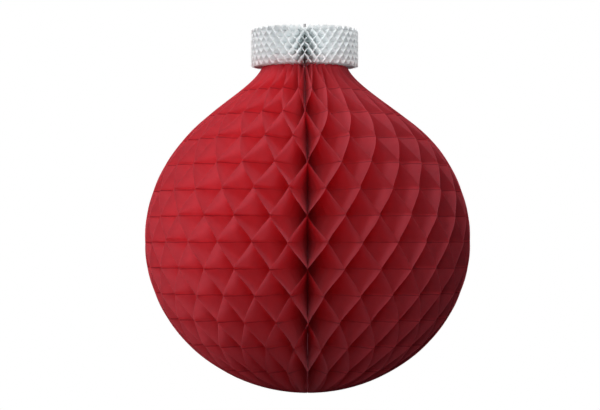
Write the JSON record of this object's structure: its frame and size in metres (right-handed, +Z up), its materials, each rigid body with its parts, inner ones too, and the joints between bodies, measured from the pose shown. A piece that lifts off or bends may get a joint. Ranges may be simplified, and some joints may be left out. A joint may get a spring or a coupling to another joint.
{
  "type": "honeycomb paper ball",
  "caption": "Hanging bauble of opened honeycomb paper: a red tissue ball with a flared neck, a finer silver paper cap and card covers meeting at the back.",
  "frame": {"origin": "centre of the thread hole in the tab above the cap, on the upright axis of the ball", "axes": "+Z up along the ball's axis, +Y towards the covers at the back, +X to the right seen from the front"},
  "size_m": [0.1998, 0.1995, 0.227],
  "materials": {
    "red_tissue": "matt red tissue paper",
    "silver_paper": "satin silver-grey paper",
    "cover_card": "plain grey card",
    "adhesive": "double-sided strip"
  },
  "bodies": {
    "root": {"honeycomb_body": "red_tissue", "honeycomb_cap": "silver_paper", "cover_board_left": "cover_card", "cover_board_right": "cover_card", "adhesive_strip": "adhesive"}
  },
  "joints": []
}
